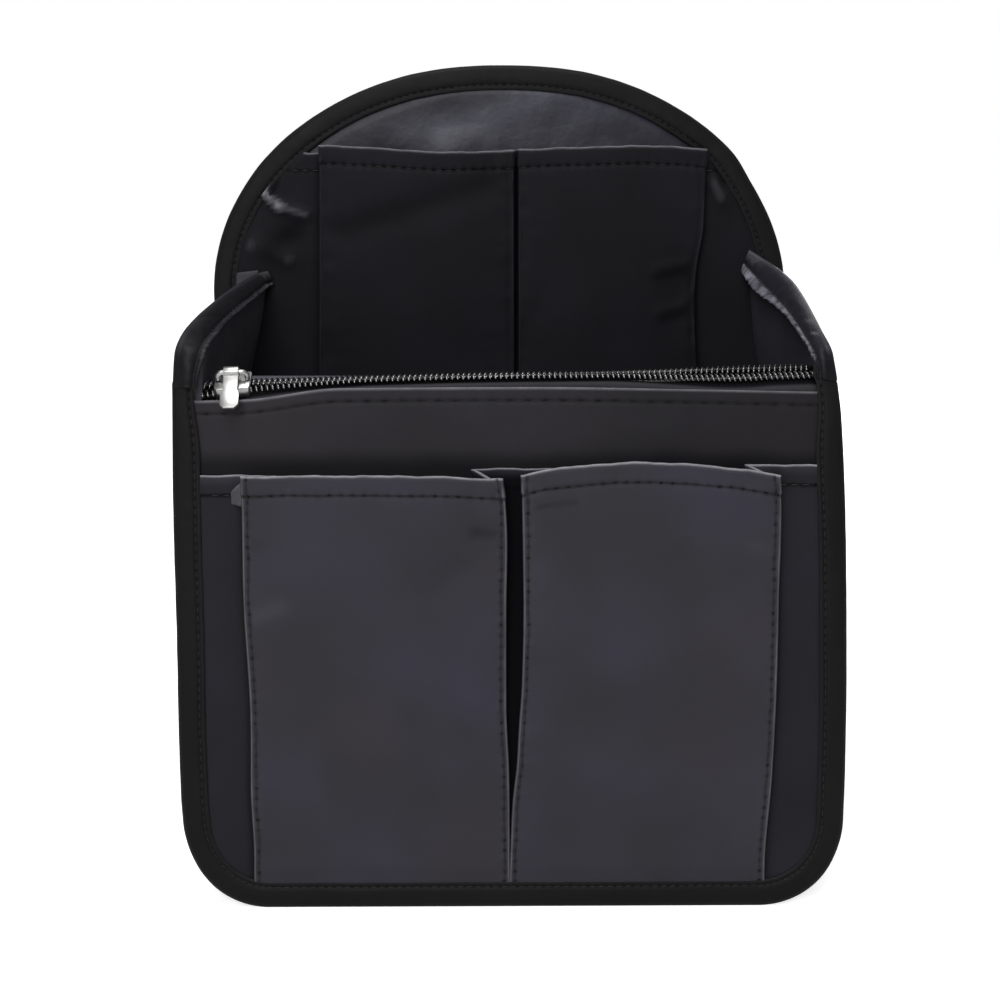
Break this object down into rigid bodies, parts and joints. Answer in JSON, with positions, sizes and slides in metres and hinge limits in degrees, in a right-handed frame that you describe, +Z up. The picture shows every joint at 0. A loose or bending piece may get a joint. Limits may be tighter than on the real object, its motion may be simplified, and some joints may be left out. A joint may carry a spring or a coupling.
{
  "type": "purse organizer insert",
  "caption": "Soft black nylon handbag organizer insert: arched back wall, lower zipped front wall, taped seams, and pleated slip pockets on the front and inside.",
  "frame": {"origin": "on the table, under the middle of the bag's outer box", "axes": "+X to the bag's right as seen from the front, +Y from the front wall to the back wall, +Z up"},
  "size_m": [0.21, 0.1022, 0.2705],
  "materials": {
    "nylon": "woven nylon with a slight sheen",
    "lining": "coated nylon, satin",
    "binding": "folded tape, dull",
    "board": "plain sheet",
    "zip_tape": "woven tape, dull",
    "zip_coil": "moulded nylon coil",
    "nickel": "bright nickel plate"
  },
  "bodies": {
    "bag": {"back_shell": "nylon", "back_stiffener": "board", "back_lining": "lining", "inner_pocket_strip": "nylon", "back_binding": "binding", "gusset": "nylon", "left_side_binding": "binding", "right_side_binding": "binding", "front_shell": "nylon", "front_pocket_strip": "nylon", "front_binding": "binding", "zip_pocket_back": "lining", "front_stiffener": "board", "front_lining": "lining", "zip_tape_front": "zip_tape", "zip_tape_back": "zip_tape", "zip_coil_front": "zip_coil", "zip_coil_back": "zip_coil"},
    "slider": {"zip_slider_body": "nickel", "zip_slider_crown": "nickel"},
    "pull": {"zip_pull": "nickel"}
  },
  "joints": [
    {"name": "zip_slide", "type": "slide", "parent": "bag", "child": "slider", "axis": [0.9997, 0.0023, 0.0261], "range_m": [0, 0.173]},
    {"name": "pull_swing", "type": "hinge", "parent": "slider", "child": "pull", "pos_m": [-0.08666, -0.03262, 0.16997], "axis": [-0.9997, -0.0023, -0.0261], "range_deg": [0, 220]}
  ]
}
